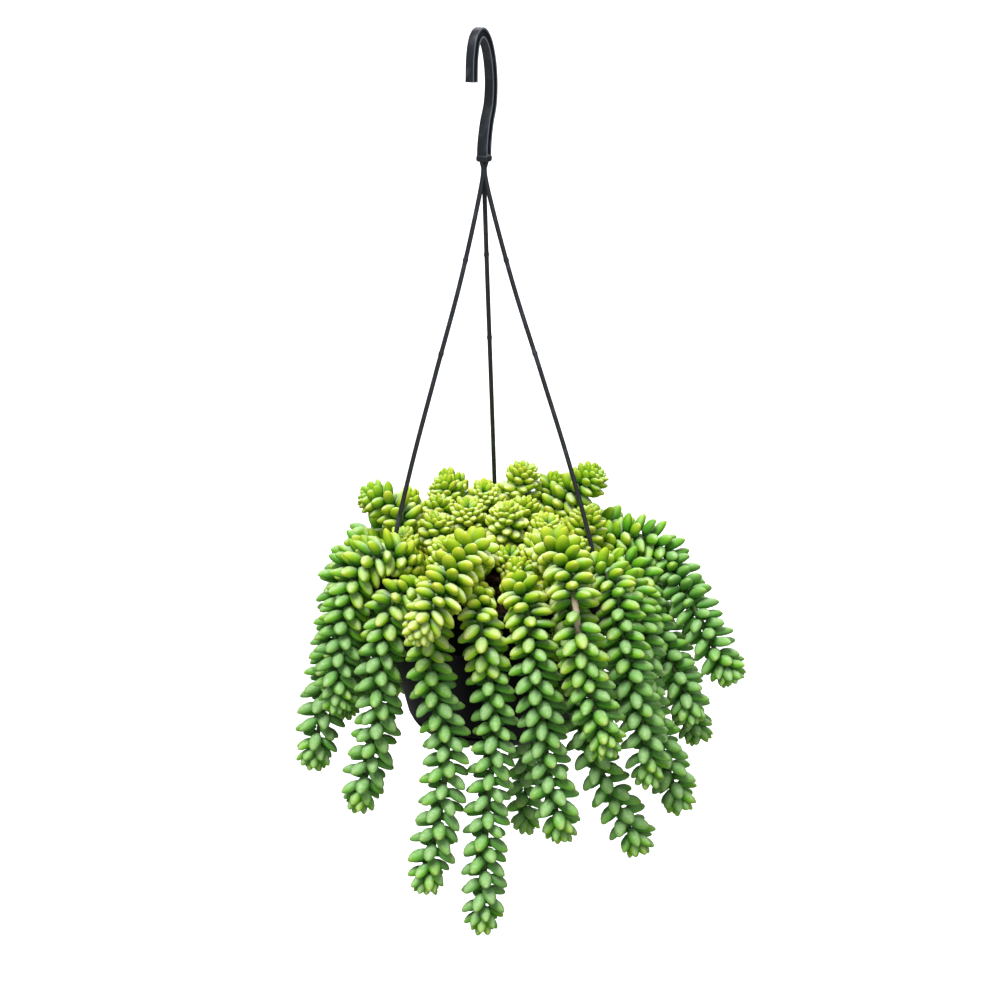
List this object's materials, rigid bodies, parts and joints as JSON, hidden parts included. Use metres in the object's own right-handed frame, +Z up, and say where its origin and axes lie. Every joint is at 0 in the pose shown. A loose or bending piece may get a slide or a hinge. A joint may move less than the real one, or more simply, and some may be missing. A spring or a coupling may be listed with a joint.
{
  "type": "burro's tail plant in a hanging pot",
  "caption": "Burro's tail, a trailing stonecrop with thick drooping tails of plump leaves, in a black plastic hanging pot with a hook hanger on slim strands.",
  "frame": {"origin": "seat at the top of the inside of the hook, on its middle line, where the rail or ceiling hook bears", "axes": "+Z up along the hanging plumb line; +X to the right and +Y away from the side that the longest tails hang on"},
  "size_m": [0.2748, 0.2351, 0.5511],
  "materials": {
    "black_plastic": "satin, injection moulded",
    "potting_soil": "crumbly, damp, dark red-brown",
    "trailing_leaves": "smooth waxy skin with a pale bloom",
    "crown_leaves": "smooth waxy skin, sun-yellowed with ochre points"
  },
  "bodies": {
    "root": {"pot": "black_plastic", "saucer": "black_plastic", "soil": "potting_soil", "hanger": "black_plastic", "tail_01": "trailing_leaves", "tail_02": "trailing_leaves", "tail_03": "trailing_leaves", "tail_04": "trailing_leaves", "tail_05": "trailing_leaves", "tail_06": "trailing_leaves", "tail_07": "trailing_leaves", "tail_08": "trailing_leaves", "tail_09": "trailing_leaves", "tail_10": "trailing_leaves", "tail_11": "trailing_leaves", "tail_12": "trailing_leaves", "tail_13": "trailing_leaves", "tail_14": "trailing_leaves", "tail_15": "trailing_leaves", "tail_16": "trailing_leaves", "tail_17": "trailing_leaves", "tail_18": "trailing_leaves", "tail_19": "trailing_leaves", "tail_20": "trailing_leaves", "tail_21": "trailing_leaves", "tail_22": "trailing_leaves", "tail_23": "trailing_leaves", "crown_01": "crown_leaves", "crown_02": "crown_leaves", "crown_03": "crown_leaves", "crown_04": "crown_leaves", "crown_05": "crown_leaves", "crown_06": "crown_leaves", "crown_07": "crown_leaves", "crown_08": "crown_leaves", "crown_09": "crown_leaves", "crown_10": "crown_leaves", "crown_11": "crown_leaves", "crown_12": "crown_leaves", "crown_13": "crown_leaves", "crown_14": "crown_leaves", "crown_15": "crown_leaves", "crown_16": "crown_leaves", "crown_17": "crown_leaves", "crown_18": "crown_leaves", "crown_19": "crown_leaves", "crown_20": "crown_leaves", "crown_21": "crown_leaves", "crown_22": "crown_leaves", "crown_23": "crown_leaves", "crown_24": "crown_leaves", "crown_25": "crown_leaves"}
  },
  "joints": []
}
